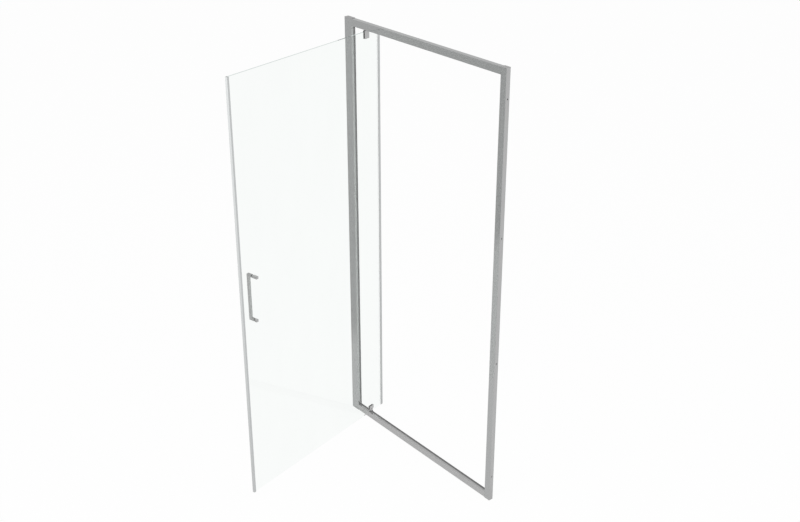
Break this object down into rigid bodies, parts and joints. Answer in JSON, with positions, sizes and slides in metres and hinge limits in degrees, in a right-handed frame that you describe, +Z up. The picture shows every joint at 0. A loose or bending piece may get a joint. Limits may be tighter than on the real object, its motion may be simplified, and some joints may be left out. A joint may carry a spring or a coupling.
{
  "type": "pivot shower door",
  "caption": "Framed shower door: an aluminium surround with a clear glass leaf on offset pivots, magnetic closing edge and a slim square D handle.",
  "frame": {"origin": "underside of the sill, at the middle of the frame's width and depth", "axes": "+Z up, +X along the opening from the pivot post to the strike post, -Y to the outside, where the handle is and the leaf swings"},
  "size_m": [0.984, 0.8846, 1.954],
  "materials": {
    "satin_aluminium": "satin silver anodised",
    "mill_aluminium": "mill finish",
    "grey_rubber": "matte dark grey",
    "edge_strip": "milky grey PVC",
    "door_glass": "clear toughened glass, polished edges",
    "magnet_strip": "magnetic rubber",
    "screw_steel": "stainless",
    "grey_plastic": "moulded grey",
    "cast_block": "zinc casting",
    "dark_nylon": "dark grey nylon",
    "grey_nylon": "light grey nylon",
    "satin_handle": "satin stainless"
  },
  "bodies": {
    "frame": {"post_left": "satin_aluminium", "post_right": "satin_aluminium", "wall_channel_left": "mill_aluminium", "wall_channel_right": "mill_aluminium", "sill_rail": "satin_aluminium", "header_rail": "satin_aluminium", "post_cap_left": "grey_plastic", "post_cap_right": "grey_plastic", "post_foot_left": "grey_plastic", "post_foot_right": "grey_plastic", "post_seal_left": "grey_rubber", "post_seal_right": "grey_rubber", "strike_magnet": "magnet_strip", "sill_seal": "grey_rubber", "header_seal": "grey_rubber", "corner_screws_left": "screw_steel", "corner_screws_right": "screw_steel", "post_screws_left": "screw_steel", "post_screws_right": "screw_steel", "screw_covers_left": "grey_plastic", "screw_covers_right": "grey_plastic", "bottom_pivot_block": "cast_block", "top_pivot_block": "cast_block", "bottom_block_screws": "screw_steel", "top_block_screws": "screw_steel", "bottom_pivot_pin": "screw_steel", "top_pivot_pin": "screw_steel", "bottom_pivot_flange": "grey_rubber", "bottom_pivot_collar": "grey_nylon", "top_pivot_washer": "dark_nylon"},
    "door": {"door_glass": "door_glass", "free_edge_profile": "edge_strip", "free_edge_magnet": "magnet_strip", "tail_edge_seal": "edge_strip", "top_shoe_inner_plate": "satin_handle", "top_shoe_outer_plate": "satin_handle", "bottom_shoe_inner_plate": "satin_handle", "bottom_shoe_outer_plate": "satin_handle", "top_shoe_pads": "grey_rubber", "bottom_shoe_pads": "grey_rubber", "top_pivot_insert": "dark_nylon", "bottom_pivot_insert": "dark_nylon", "top_shoe_screws": "screw_steel", "bottom_shoe_screws": "screw_steel", "handle_bar": "satin_handle", "handle_bolts": "screw_steel", "handle_washers_outer": "grey_rubber", "handle_washers_inner": "grey_rubber", "handle_glass_sleeves": "dark_nylon", "handle_cap_lower": "satin_handle", "handle_cap_upper": "satin_handle"}
  },
  "joints": [
    {"name": "door_pivot", "type": "hinge", "parent": "frame", "child": "door", "pos_m": [-0.357, 0, 0], "axis": [0, 0, 1], "range_deg": [-32.8, 77.2]}
  ]
}
